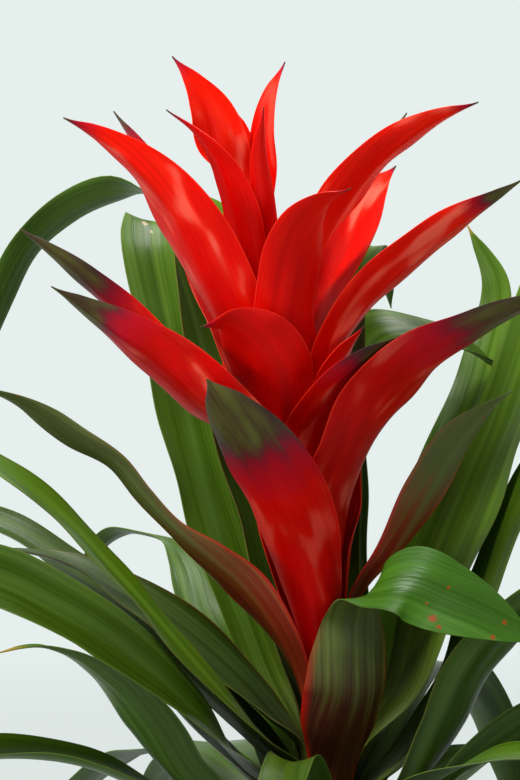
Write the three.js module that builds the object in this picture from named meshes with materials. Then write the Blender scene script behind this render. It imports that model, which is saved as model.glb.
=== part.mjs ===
// Guzmania bromeliad, lifted and cut clean across its butt: one stem, a head of scarlet bracts,
// three leaves that are half bract, and a rosette of strap leaves. Millimetres, +Z up, the cut at z = 0.
// +X is the viewer's right, +Y is away from the viewer. Azimuths are degrees from +X towards +Y.
import * as THREE from 'three';

// Stem: the cone that the leaf bases clasp, then the slender stalk that leans to the left.
const STEM_PROFILE = [[0, 12.4], [2, 13.2], [10, 12.8], [60, 6.2], [110, 5.2], [235, 4.6], [285, 1.6],
  [288, 0.8]];
const STEM_LEAN = [[0, 0], [120, -1], [160, -5], [200, -12], [240, -19], [280, -26], [400, -40]];
const STEM_SIDES = 24;

// Blades: bracts and leaves.
const SEAT_GAP = 0.3; // between a blade's foot and the stem
const BRACT_THICK = 0.7;
const LEAF_THICK = 0.8;
const SHEATH_FLARE = 0.25; // how fast a bract's clasping base leaves the stem, radius per height
const LEAF_FLARE = 0.2;
const BRACT_HUG = 42; // height of the clasping base
const LEAF_HUG = 26;
const BRACT_WRAP = 0.95; // half angle that a foot wraps round the stem, radians
const LEAF_WRAP = 0.66;
const BRACT_TROUGH = 0.5; // least half angle of a blade's cross-section arc, radians
const LEAF_TROUGH = 0.36;
const ACROSS = 4; // facets over a blade's width
const BRACT_CUTS = 12; // pieces along a blade
const LEAF_CUTS = 13;

const SCARLET = 0xd41c0c;
const DEEP_RED = 0xa81212;
const OLIVE_BROWN = 0x5a3a22;
const LEAF_GREEN = 0x3f6b22;
const DARK_GREEN = 0x2c4a1c;
const STEM_GREEN = 0x6f8040;

// Each blade: turn is the azimuth of its foot, foot its height on the stem, and via the stations that its
// midrib passes after the clasping base: [x, y, z, width, roll in degrees]. The last station is the tip.
const BRACTS = {
  bract_back_left_low: { turn: 128, foot: 124, wrap: 0.8, via: [[-22, 23, 200, 23, 0],
    [-31, 33, 235, 22, 0], [-40, 40, 262, 12, 0], [-46, 44, 278, 1.4, 0]] },
  bract_front_low: { turn: 262, foot: 130, via: [[-19, -31, 205, 36, 0], [-32, -44, 227, 34, 0],
    [-41, -50, 241, 22, 0], [-46, -53, 249, 11, 0], [-48.5, -54, 253, 2.5, 0]] },
  bract_back_right_low: { turn: 36, foot: 136, via: [[8, 18, 205, 22, 0], [7, 23, 230, 20, 0],
    [5, 27, 250, 10, 0], [4, 30, 264, 1.4, 0]] },
  bract_stalk: { turn: 210, foot: 142, wrap: 0.8, via: [[-29, -18, 206, 26, 0], [-33, -27, 222, 13, 0],
    [-35, -33, 234, 1.4, 0]] },
  bract_left_olive: { turn: 177, foot: 149, wrap: 0.85, via: [[-46, 10, 236, 26, 10],
    [-64, 6, 257, 26, 25], [-83, 0, 275.5, 20, 35], [-101, -6, 292, 13, 40],
    [-123, -10, 309, 1.4, 30]] },
  bract_right_long_low: { turn: 314, foot: 155, flare: 0.32, via: [[10, -21, 222, 38, 0],
    [20, -27, 242, 39, -15], [38, -34, 260, 35, -20], [57, -38, 271, 26, -20],
    [78, -42, 281.5, 17, -15], [94, -45, 287, 10, -10], [109, -47, 291, 1.4, 0]] },
  bract_back_low: { turn: 92, foot: 161, via: [[-17, 22, 230, 24, 0], [-19, 27, 252, 14, 0],
    [-21, 31, 270, 1.4, 0]] },
  bract_left_folded: { turn: 230, foot: 167, via: [[-32, -23, 228, 26, 5], [-48, -29, 243, 28, 28],
    [-66, -32, 259, 25, 38], [-84, -37, 272, 17, 40], [-98, -40, 281, 9, 30],
    [-109, -42, 288, 1.4, 20]] },
  bract_right_folded: { turn: 286, foot: 173, wrap: 0.75, via: [[-5, -17, 230, 28, 0],
    [2, -25, 243, 29, 0], [10, -32, 253, 27, 0], [18, -36, 261, 18, 0], [27, -39, 269, 1.4, 0]] },
  bract_front_cup: { turn: 250, foot: 181, wrap: 0.85, cuts: 16, via: [[-21, -22, 243, 30, 0],
    [-23, -26, 254, 33, 5], [-31, -30, 266, 29, 20], [-41, -34, 272.5, 14, 40],
    [-51, -37, 272, 1.4, 50]] },
  bract_left_rear: { turn: 145, foot: 187, wrap: 0.85, via: [[-38, 14, 256, 27, 0],
    [-52, 17, 288, 27, 0], [-65, 19, 317, 23, 0], [-77, 20, 340, 12, 0], [-87, 21, 355, 1.4, 0]] },
  bract_right_filler: { turn: 330, foot: 187, wrap: 0.6, via: [[0, -11, 248, 20, 0],
    [6, -15, 260, 17, 0], [13, -18, 271, 1.4, 0]] },
  bract_right_long: { turn: 7, foot: 193, via: [[2, -5, 260, 30, -10], [12, -9, 277, 31, -18],
    [22, -11, 288, 29, -25], [37, -13, 301.5, 25, -30], [55, -14, 315, 17, -30], [66, -15, 322, 9, -25],
    [76, -15, 329, 1.4, -20]] },
  bract_right_rear: { turn: 78, foot: 200, wrap: 0.65, via: [[-9, 25, 268, 20, 0], [1, 34, 298, 24, 0],
    [14, 40, 326, 15, 0], [32, 42, 354, 1.4, 0]] },
  bract_mid_right: { turn: 300, foot: 206, via: [[-18, -22, 272, 26, 0], [-16, -25, 289, 27, 0],
    [-13, -27, 302, 28, 0], [-8, -29, 313, 25, 5], [-1, -29, 321, 14, 10],
    [7.5, -28, 325.5, 1.4, 10]] },
  bract_left_large: { turn: 197, foot: 213, via: [[-41, -9, 270, 36, 10], [-49, -13, 293, 36, 20],
    [-61, -17, 317, 30, 28], [-75, -20, 334.5, 19, 35], [-90, -22, 345.5, 9.5, 38],
    [-105, -23, 353, 1.4, 30]] },
  bract_right_pale: { turn: 30, foot: 213, via: [[-3, 15, 278, 27, 5], [9, 22, 303, 28, 20],
    [18, 23, 321, 20, 20], [27, 23, 333, 1.4, 20]] },
  bract_right_upper: { turn: 345, foot: 220, via: [[-9, -3, 272, 25, 0], [-6, -5, 297, 29, -8],
    [5, -8, 319, 29, -24], [20, -12, 337.5, 23, -30], [40, -14, 351.5, 12, -35],
    [58, -15, 359, 1.4, -20]] },
  bract_top_rear: { turn: 112, foot: 237, flare: 0.13, hug: 60, via: [[-36, 16, 330, 18, 0],
    [-39, 18, 347, 13, 0], [-41, 19, 360, 1.4, 0]] },
  bract_top_narrow: { turn: 235, foot: 246, flare: 0.1, via: [[-39, -12, 322, 18, 0],
    [-43, -13, 333, 14, 0], [-48, -14, 341, 10, 0], [-55, -14, 348.5, 5, 0], [-65, -14, 356, 1.4, 0]] },
  bract_top_small: { turn: 320, foot: 254, flare: 0.1, wrap: 0.8, via: [[-26, -8, 320, 11, 0],
    [-28, -8, 338, 8, 0], [-26.5, -8, 357, 1.4, 0]] },
  bract_top_left: { turn: 155, foot: 262, flare: 0.1, wrap: 0.7, via: [[-40, 4, 328, 21, -10],
    [-44, 5, 341, 24, -40], [-50, 5, 358, 18, -45], [-56, 5, 368, 9, -40], [-63, 5, 377, 1.4, -30]] },
  bract_top_right: { turn: 50, foot: 270, flare: 0.08, wrap: 0.7, via: [[-25, 8, 332, 14, 0],
    [-25.5, 9, 347, 14, 0], [-23.5, 9, 361, 10, 0], [-18, 9, 374.8, 1.4, 0]] },
};

const LEAVES = {
  leaf_bract_right: { turn: 347, foot: 112, via: [[12, -4, 163, 11, -20], [24, -6, 180, 13, -45],
    [39, -9, 206, 20, -50], [53, -11, 228, 17, -45], [63, -12, 238, 9, -30], [72, -13, 245, 1.4, 0]] },
  leaf_bract_left: { turn: 205, foot: 100, cuts: 18, via: [[-23, -13, 151, 20, 15],
    [-35, -18, 168, 21, 28], [-48, -22, 179.5, 16, 40], [-60, -25.5, 190, 8, 55],
    [-74, -29, 205, 8, 55], [-84, -31, 217.5, 9, 50], [-101, -35, 228.5, 11.5, 50],
    [-111, -38, 236, 11, 45], [-121, -40.5, 242.5, 7.5, 35], [-133, -43.5, 247.5, 3.5, 20],
    [-140, -45, 249.5, 1.4, 10]] },
  leaf_bract_front: { turn: 285, foot: 67, cuts: 24, wrap: 0.95, flare: 0.22, via: [
    [6, -18, 108, 38, 0], [10, -21, 124, 43, 0], [10, -22, 141, 38, 0], [10, -23, 156, 27, 0],
    [12, -27, 164, 24, 10], [19, -33, 168, 27, 40], [31, -38, 170.5, 32, 58], [44, -42, 166, 30, 60],
    [60, -46, 159.5, 21, 55], [80, -51, 149, 1.4, 50]] },
  leaf_rear_right: { turn: 80, foot: 96, via: [[3, 22, 150, 20, 0], [3, 28, 200, 26, 0],
    [6, 36, 250, 24, 0], [12, 46, 287, 16, 0], [18, 60, 298, 12, 0], [24, 84, 289, 9, 0],
    [28, 104, 270, 1.4, 0]] },
  leaf_rear_brown: { turn: 154, foot: 88, via: [[-19, 15, 145, 20, 0], [-28, 31, 190, 24, 0],
    [-42, 46, 236, 24, 0], [-54, 56, 272, 18, 0], [-64, 62, 304, 1.4, 0]] },
  leaf_left_dark: { turn: 185, foot: 74, via: [[-24, 1, 112, 25, -10], [-40, 4, 129, 28, -20],
    [-60, 5, 146, 28, -30], [-82, 4, 162, 23, -25], [-104, -1, 174, 16, -10], [-124, -8, 180, 9, 0],
    [-140, -13, 181, 1.4, 0]] },
  leaf_back_left_broad: { turn: 122, foot: 68, via: [[-22, 30, 125, 28, 0], [-38, 43, 166, 38, 0],
    [-55, 58, 222, 40, 5], [-66, 73, 273, 40, 5], [-71, 88, 299, 36, 0], [-71, 101, 307, 28, 0],
    [-70, 115, 299, 19, 0], [-69, 127, 278, 1.4, 0]] },
  leaf_right_broad: { turn: 28, foot: 68, wrap: 0.5, via: [[31, 14, 118, 28, 5], [43, 24, 156, 34, 12],
    [61, 37, 197, 36, 12], [78, 50, 238, 37, 5], [90, 64, 274, 36, 0], [103, 84, 308, 30, 0],
    [114, 118, 330, 24, 0], [126, 160, 318, 14, 0], [136, 190, 288, 1.4, 0]] },
  leaf_back_thin_arch: { turn: 85, foot: 62, wrap: 0.5, via: [[7, 34, 124, 18, 0], [5, 48, 190, 26, 0],
    [8, 62, 241, 26, 5], [22, 74, 262, 24, 25], [48, 84, 259, 22, 35], [78, 92, 241, 17, 20],
    [105, 98, 216, 1.4, 0]] },
  leaf_left_bright: { turn: 207, foot: 60, wrap: 0.6, via: [[-30, -16, 108, 23, -15],
    [-52, -25, 133, 23, -30], [-84, -37, 173, 24, -30], [-107, -44, 199, 24, -30],
    [-129, -52, 218, 23, -25], [-165, -64, 238, 21, -20], [-205, -76, 238, 18, -10],
    [-240, -86, 216, 10, 0], [-262, -92, 186, 1.4, 0]] },
  leaf_back_right_upright: { turn: 45, foot: 56, via: [[26, 42, 122, 24, 0], [45, 85, 190, 26, 0],
    [68, 112, 245, 22, 0], [74, 124, 280, 14, 0], [62, 132, 304, 1.4, 0]] },
  leaf_left_shade_upper: { turn: 172, foot: 54, via: [[-30, 6, 102, 27, -8], [-50, 9, 121, 28, -12],
    [-76, 12, 147, 28, -12], [-104, 14, 170, 26, -14], [-132, 16, 187, 24, -14], [-170, 18, 196, 20, 0],
    [-210, 20, 186, 12, 0], [-240, 22, 161, 1.4, 0]] },
  leaf_right_pale: { turn: 10, foot: 50, via: [[31, 5, 95, 26, 5], [50, 8, 124, 26, 10],
    [64, 12, 163, 26, 14], [73, 16, 185, 26, 14], [88, 22, 214, 25, 10], [108, 30, 242, 22, 5],
    [135, 42, 254, 18, 0], [160, 52, 246, 11, 0], [180, 60, 230, 1.4, 0]] },
  leaf_left_striped: { turn: 211, foot: 48, cuts: 23, via: [[-33, -26, 96, 26, -12],
    [-53, -41, 120.5, 29, -40], [-83, -53, 148.5, 30, -55], [-105, -59, 164, 30, -57],
    [-128, -64, 176.5, 29, -54], [-165, -76, 182, 26, -34], [-205, -88, 170, 16, -14],
    [-238, -98, 144, 1.4, 0]] },
  leaf_back_left_arch: { turn: 100, foot: 47, via: [[-6, 46, 120, 22, 0], [-8, 76, 195, 27, 0],
    [-20, 108, 262, 27, 0], [-40, 122, 296, 26, 8], [-62, 130, 313, 24, 18], [-86, 134, 319, 22, 22],
    [-109, 139, 312, 19, 14], [-128, 146, 296, 18, 5], [-142, 150, 271, 16, 0], [-156, 154, 230, 12, 0],
    [-166, 157, 190, 1.4, 0]] },
  leaf_right_front: { turn: 325, foot: 46, via: [[27, -12, 80, 27, 0], [46, -18, 110.5, 29, -22],
    [56, -22, 133, 30, -26], [68, -27, 150, 30, -26], [90, -36, 170, 27, -15], [120, -48, 180, 21, -5],
    [150, -60, 170, 12, 0], [174, -70, 146, 1.4, 0]] },
  leaf_front_fold: { turn: 262, foot: 38, wrap: 0.7, trough: 0.7, via: [[-9, -36, 86, 23, 0],
    [-13, -48, 100, 22, 0], [-16, -64, 105, 20, 0], [-19, -84, 100, 20, 0], [-24, -106, 77, 16, 0],
    [-28, -124, 42, 10, 0], [-32, -133, 14, 1.4, 0]] },
  leaf_left_shade_lower: { turn: 178, foot: 40, via: [[-34, -3, 89, 26, -5], [-56, -9, 112, 27, -12],
    [-76, -13, 134, 27, -12], [-100, -16, 154, 25, -12], [-132, -19, 171, 24, -10],
    [-170, -20, 180, 20, 0], [-208, -24, 168, 12, 0], [-236, -28, 144, 1.4, 0]] },
  leaf_right_front_low: { turn: 305, foot: 34, via: [[24, -33, 80, 27, 0], [42, -50, 97, 28, 5],
    [62, -66, 107, 26, 10], [86, -84, 110, 21, 10], [108, -100, 100, 13, 0], [128, -114, 78, 1.4, 0]] },
  leaf_back_left_low: { turn: 133, foot: 34, via: [[-24, 36, 98, 24, 0], [-40, 52, 122, 24, 0],
    [-54, 70, 145, 21, 0], [-60, 90, 161, 16, 5], [-67, 104, 169, 12, 10], [-77, 112, 171.5, 9, 12],
    [-89, 122, 171, 14, 14], [-98, 130, 164, 12, 0], [-106, 138, 148, 1.4, 0]] },
  leaf_right_low: { turn: 350, foot: 28, via: [[38, -6, 78, 26, 0], [60, -11, 97, 28, -25],
    [85, -18, 114, 30, -35], [115, -24, 121, 26, -25], [150, -32, 112, 18, -10],
    [180, -38, 92, 1.4, 0]] },
  leaf_left_short: { turn: 220, foot: 18, wrap: 0.55, via: [[-40, -30, 76, 27, 10],
    [-62, -43, 101, 30, 12], [-69, -54, 115, 30, 12], [-79, -68, 130.5, 26, 10], [-87, -80, 141, 19, 8],
    [-95, -90, 149, 13, 5], [-103, -99, 154, 10, 0], [-110, -106, 157, 6, 0], [-117, -112, 157.5, 4, 0],
    [-125, -118, 156.5, 1.2, 0]] },
  leaf_left_floor: { turn: 200, foot: 8, trough: 0.7, via: [[-40, -15, 60, 28, 0],
    [-66, -24, 81, 29, -4], [-95, -36, 98, 30, -6], [-129, -47, 105, 29, -6], [-170, -60, 98, 24, 0],
    [-212, -74, 74, 17, 0], [-246, -84, 40, 10, 0], [-268, -92, 2, 2, 0]] },
};

// The leaves below and behind follow one arch, each scaled in reach and height and turned to its place.
const ARCH = [[44, 78, 28], [70, 98, 30], [105, 110, 31], [150, 104, 29], [200, 76, 23], [236, 36, 14],
  [256, 1.6, 2.4]];
const ARCHED = {
  leaf_back_right_low: { turn: 62, foot: 38, reach: 0.8, lift: 1.1, sag: 0 },
  leaf_back_middle: { turn: 88, foot: 28, reach: 0.9, lift: 1.0, sag: 45 },
  leaf_front_hidden: { turn: 278, foot: 25, wrap: 0.5, reach: 0.8, lift: 0.84, sag: 0 },
  leaf_back_left_outer: { turn: 128, foot: 22, reach: 0.85, lift: 0.75, sag: 0 },
  leaf_right_hidden: { turn: 0, foot: 20, reach: 0.95, lift: 0.75, sag: 0 },
  leaf_back_right_outer: { turn: 52, foot: 14, reach: 0.95, lift: 0.72, sag: 0 },
  leaf_floor_back: { turn: 110, foot: 8, reach: 1.0, lift: 0.7, sag: 0 },
  leaf_floor_right: { turn: 15, foot: 8, reach: 1.0, lift: 0.7, sag: 0 },
  leaf_floor_front: { turn: 292, foot: 8, reach: 0.85, lift: 0.66, sag: 0 },
};

// Straight-line lookup in a list of [key, value] pairs.
function lookup(pairs, key) {
  const next = pairs.findIndex(([at]) => at > key);
  if (next === 0) return pairs[0][1];
  if (next < 0) return pairs.at(-1)[1];
  const [[a, from], [b, to]] = [pairs[next - 1], pairs[next]];
  return from + ((to - from) * (key - a)) / (b - a);
}

const radians = (degrees) => (degrees * Math.PI) / 180;

// A smooth curve through rows of numbers, paced by the distance between their first three.
function smoothRows(rows) {
  const knots = [0];
  for (let k = 1; k < rows.length; k += 1) {
    const [a, b] = [rows[k - 1], rows[k]];
    knots.push(knots[k - 1] + Math.hypot(b[0] - a[0], b[1] - a[1], b[2] - a[2]));
  }
  const last = rows.length - 1;
  const slope = (k, c) => (rows[k + 1][c] - rows[k][c]) / (knots[k + 1] - knots[k]);
  const tangent = (k, c) => {
    if (k === 0) return slope(0, c);
    if (k === last) return slope(last - 1, c);
    const [before, after] = [knots[k] - knots[k - 1], knots[k + 1] - knots[k]];
    return (slope(k - 1, c) * after + slope(k, c) * before) / (before + after);
  };
  return (share) => {
    const at = share * knots[last];
    let k = 0;
    while (k < last - 1 && knots[k + 1] < at) k += 1;
    const span = knots[k + 1] - knots[k];
    const f = (at - knots[k]) / span;
    const [f2, f3] = [f * f, f * f * f];
    return rows[0].map((_, c) => (2 * f3 - 3 * f2 + 1) * rows[k][c]
      + (f3 - 2 * f2 + f) * span * tangent(k, c)
      + (3 * f2 - 2 * f3) * rows[k + 1][c]
      + (f3 - f2) * span * tangent(k + 1, c));
  };
}

// The foot and the clasping base: stations on the stem's own side, each further out than the one below.
function sheath(turn, foot, kind) {
  const radius = lookup(STEM_PROFILE, foot) + SEAT_GAP + kind.thick / 2;
  return [0, kind.hug / 2, kind.hug].map((rise) => {
    const out = radius + kind.flare * rise;
    const z = foot + rise;
    return [lookup(STEM_LEAN, z) + out * Math.cos(radians(turn)), out * Math.sin(radians(turn)), z,
      2 * kind.wrap * out, 0];
  });
}

// The frame of a blade at one share of its length: midrib point, across, towards its upper face, arc.
function bladeFrame(path, share, kind) {
  const step = 1e-3;
  const row = path(share);
  const here = new THREE.Vector3(...row);
  const ahead = new THREE.Vector3(...path(Math.min(1, share + step)));
  const behind = new THREE.Vector3(...path(Math.max(0, share - step)));
  const along = ahead.sub(behind).normalize();
  const out = new THREE.Vector3(here.x - lookup(STEM_LEAN, here.z), here.y, 0);
  const radius = out.length();
  const across = new THREE.Vector3(-out.y, out.x, 0).normalize();
  across.addScaledVector(along, -across.dot(along)).normalize();
  const up = new THREE.Vector3().crossVectors(along, across);
  const roll = radians(row[4]);
  const side = across.clone().multiplyScalar(Math.cos(roll)).addScaledVector(up, Math.sin(roll));
  const face = up.multiplyScalar(Math.cos(roll)).addScaledVector(across, -Math.sin(roll));
  const width = Math.max(row[3], 1.2);
  const bend = Math.min(kind.wrap, Math.max(kind.trough, width / (2 * radius)));
  return { here, side, face, width, bend };
}

// A blade: rings of points over the width, upper face then lower face, joined along its length.
function blade(rows, kind) {
  const { cuts } = kind;
  const path = smoothRows(rows);
  const points = [];
  const ring = 2 * (ACROSS + 1);
  for (let k = 0; k <= cuts; k += 1) {
    const { here, side, face, width, bend } = bladeFrame(path, k / cuts, kind);
    const arc = width / (2 * bend);
    for (let j = 0; j < ring; j += 1) {
      const upper = j <= ACROSS;
      const angle = bend * ((2 * (upper ? j : ring - 1 - j)) / ACROSS - 1);
      const reach = arc - (upper ? 1 : -1) * (kind.thick / 2);
      points.push(here.clone().addScaledVector(face, arc - reach * Math.cos(angle))
        .addScaledVector(side, reach * Math.sin(angle)));
    }
  }
  const index = [];
  for (let k = 0; k < cuts; k += 1) {
    for (let j = 0; j < ring; j += 1) {
      const [a, b] = [k * ring + j, k * ring + ((j + 1) % ring)];
      index.push(a, b + ring, b, a, a + ring, b + ring);
    }
  }
  const last = cuts * ring;
  for (let j = 0; j < ACROSS; j += 1) {
    const [a, b, c, d] = [j, j + 1, ring - 2 - j, ring - 1 - j];
    index.push(a, b, c, a, c, d);
    index.push(last + a, last + c, last + b, last + a, last + d, last + c);
  }
  const geometry = new THREE.BufferGeometry();
  geometry.setAttribute('position', new THREE.Float32BufferAttribute(points.flatMap((p) => p.toArray()), 3));
  geometry.setIndex(index);
  return geometry;
}

// The stem: rings of the profile set along the leaning line, closed by flat ends.
function stem() {
  const points = [];
  const index = [];
  const top = STEM_PROFILE.at(-1)[0];
  const heights = [...new Set([...STEM_PROFILE, ...STEM_LEAN].map(([z]) => z))]
    .filter((z) => z <= top).sort((a, b) => a - b);
  heights.forEach((z) => {
    const radius = lookup(STEM_PROFILE, z);
    for (let j = 0; j < STEM_SIDES; j += 1) {
      const angle = (2 * Math.PI * j) / STEM_SIDES;
      points.push(lookup(STEM_LEAN, z) + radius * Math.cos(angle), radius * Math.sin(angle), z);
    }
  });
  const rings = heights.length;
  for (let k = 0; k < rings - 1; k += 1) {
    for (let j = 0; j < STEM_SIDES; j += 1) {
      const [a, b] = [k * STEM_SIDES + j, k * STEM_SIDES + ((j + 1) % STEM_SIDES)];
      index.push(a, b, b + STEM_SIDES, a, b + STEM_SIDES, a + STEM_SIDES);
    }
  }
  const last = (rings - 1) * STEM_SIDES;
  for (let j = 1; j < STEM_SIDES - 1; j += 1) {
    index.push(0, j + 1, j, last, last + j, last + j + 1);
  }
  const geometry = new THREE.BufferGeometry();
  geometry.setAttribute('position', new THREE.Float32BufferAttribute(points, 3));
  geometry.setIndex(index);
  return geometry;
}

const BRACT = { thick: BRACT_THICK, flare: SHEATH_FLARE, hug: BRACT_HUG, wrap: BRACT_WRAP,
  trough: BRACT_TROUGH, cuts: BRACT_CUTS };
const LEAF = { thick: LEAF_THICK, flare: LEAF_FLARE, hug: LEAF_HUG, wrap: LEAF_WRAP,
  trough: LEAF_TROUGH, cuts: LEAF_CUTS };

// Stations of a leaf that follows the common arch.
function archRows({ turn, reach, lift, sag }) {
  const [tipOut, tipZ] = ARCH.at(-1);
  const [east, north] = [reach * Math.cos(radians(turn)), reach * Math.sin(radians(turn))];
  return ARCH.map(([out, z, width]) => [out * east, out * north,
    tipZ + (z - tipZ) * lift + sag * (out / tipOut) ** 2, width, 0]);
}

const group = new THREE.Group();

function add(name, geometry, colour) {
  geometry.computeVertexNormals();
  const mesh = new THREE.Mesh(geometry, new THREE.MeshStandardMaterial({ color: colour, roughness: 0.45 }));
  mesh.name = name;
  group.add(mesh);
}

function addBlade(name, spec, via, common, colour) {
  const kind = { ...common, ...spec };
  add(name, blade([...sheath(spec.turn, spec.foot, kind), ...via], kind), colour);
}

add('stem', stem(), STEM_GREEN);
Object.entries(BRACTS).forEach(([name, spec]) => {
  addBlade(name, spec, spec.via, BRACT, name.endsWith('low') ? DEEP_RED : SCARLET);
});
Object.entries(LEAVES).forEach(([name, spec]) => {
  addBlade(name, spec, spec.via, LEAF, name.includes('bract') ? OLIVE_BROWN : LEAF_GREEN);
});
Object.entries(ARCHED).forEach(([name, spec]) => {
  addBlade(name, spec, archRows(spec), LEAF, DARK_GREEN);
});

export default group;
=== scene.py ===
"""Guzmania bromeliad: every bract and leaf as a finely curved blade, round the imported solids.

Stations and sizes are millimetres in the part's frame, unless a comment says metres. As the plant
stands, +X is the viewer's right, +Y away from the viewer, +Z up, and the cut across the stem is at zero.
"""
import math
import random

import bpy
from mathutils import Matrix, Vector, noise


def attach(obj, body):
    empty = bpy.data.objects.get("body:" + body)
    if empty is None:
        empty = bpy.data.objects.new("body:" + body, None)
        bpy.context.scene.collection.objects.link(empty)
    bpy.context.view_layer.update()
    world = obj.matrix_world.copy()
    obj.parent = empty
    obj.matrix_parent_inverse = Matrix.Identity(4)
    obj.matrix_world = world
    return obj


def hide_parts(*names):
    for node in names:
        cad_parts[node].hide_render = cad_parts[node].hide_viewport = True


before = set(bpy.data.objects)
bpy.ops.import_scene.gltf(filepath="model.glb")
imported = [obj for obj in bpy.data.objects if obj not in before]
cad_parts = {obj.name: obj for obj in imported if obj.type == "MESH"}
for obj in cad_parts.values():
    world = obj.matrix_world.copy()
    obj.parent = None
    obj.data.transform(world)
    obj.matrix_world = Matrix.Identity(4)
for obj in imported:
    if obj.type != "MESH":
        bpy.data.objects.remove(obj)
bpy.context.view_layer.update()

MM = 0.001

# The view: how far the camera stands, how high it looks from, what it looks at, and the height it frames.
VIEW_DISTANCE = 1500
VIEW_ELEVATION = 5
VIEW_TARGET = (-28, 0, 244)
VIEW_HEIGHT = 312
SENSOR = 36
VIEW_REACH = 100  # metres out that the camera still sees

# The stem: heights and radii of the cone that the leaf bases clasp and of the slender stalk above it, and
# heights and X of its middle, which leans to the left.
STEM_PROFILE = [(0, 12.4), (2, 13.2), (10, 12.8), (60, 6.2), (110, 5.2), (235, 4.6), (285, 1.6), (288, 0.8)]
STEM_LEAN = [(0, 0), (120, -1), (160, -5), (200, -12), (240, -19), (280, -26), (400, -40)]
STEM_SIDES = 48
STEM_STEP = 2
SCAR_SPACING = 7  # between the rings that old leaves left
SCAR_DEPTH = 0.25
SCARS_FROM, SCARS_TO = 2, 230  # heights between which the stem has such rings

# Blades: thickness, how fast the clasping base leaves the stem, its height, how far round it wraps, the
# least half angle of the cross-section arc, quads along, and how deep and how long the margins wave. A
# blade has no crease and no flush unless LOOKS gives it one.
BRACT = dict(thick=0.7, flare=0.25, hug=42, wrap=0.95, trough=0.5, steps=64, wave=0.45, wave_length=34,
             crease=0, flush=0)
LEAF = dict(thick=0.8, flare=0.2, hug=26, wrap=0.66, trough=0.36, steps=128, wave=0.6, wave_length=52,
            crease=0, flush=0)
ACROSS = 16  # quads across a blade
SEAT_GAP = 0.3  # between a blade's foot and the stem
TIP_SIZE = 0.5  # how wide and how thick the very tip is
TIP_RUN = 10  # over which a blade thins to its tip
EDGE_THIN, EDGE_POWER = 0.6, 4  # share of the thickness lost at the margins, and how closely to them
RIB_DEPTH = 0.35  # of the midrib's groove on the upper face, and of its keel underneath
RIB_WIDTH = 0.13  # share of the half width
PLEAT_DEPTH, PLEATS = 0.05, 5  # of the fine pleats that run along a blade, so many on each side
SWELL_DEPTH = 0.8  # of the slow unevenness of a blade, and how long and how wide it is
SWELL_LENGTH, SWELL_WIDTH = 28, 12
WAVE_POWER = 3  # how closely the waves keep to the margins
CREASE_POWER = 1.2  # how closely the fold keeps to the midrib
FULL_WIDTH, SWELL_FULL_WIDTH = 20, 24  # blades narrower than this have shallower relief
RELIEF_IN, RELIEF_OUT = 4, 6  # how steeply it sets in past the clasping base and fades to the tip
SHARP_ANGLE = 50  # edges that turn by more degrees than this are shaded as sharp

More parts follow.
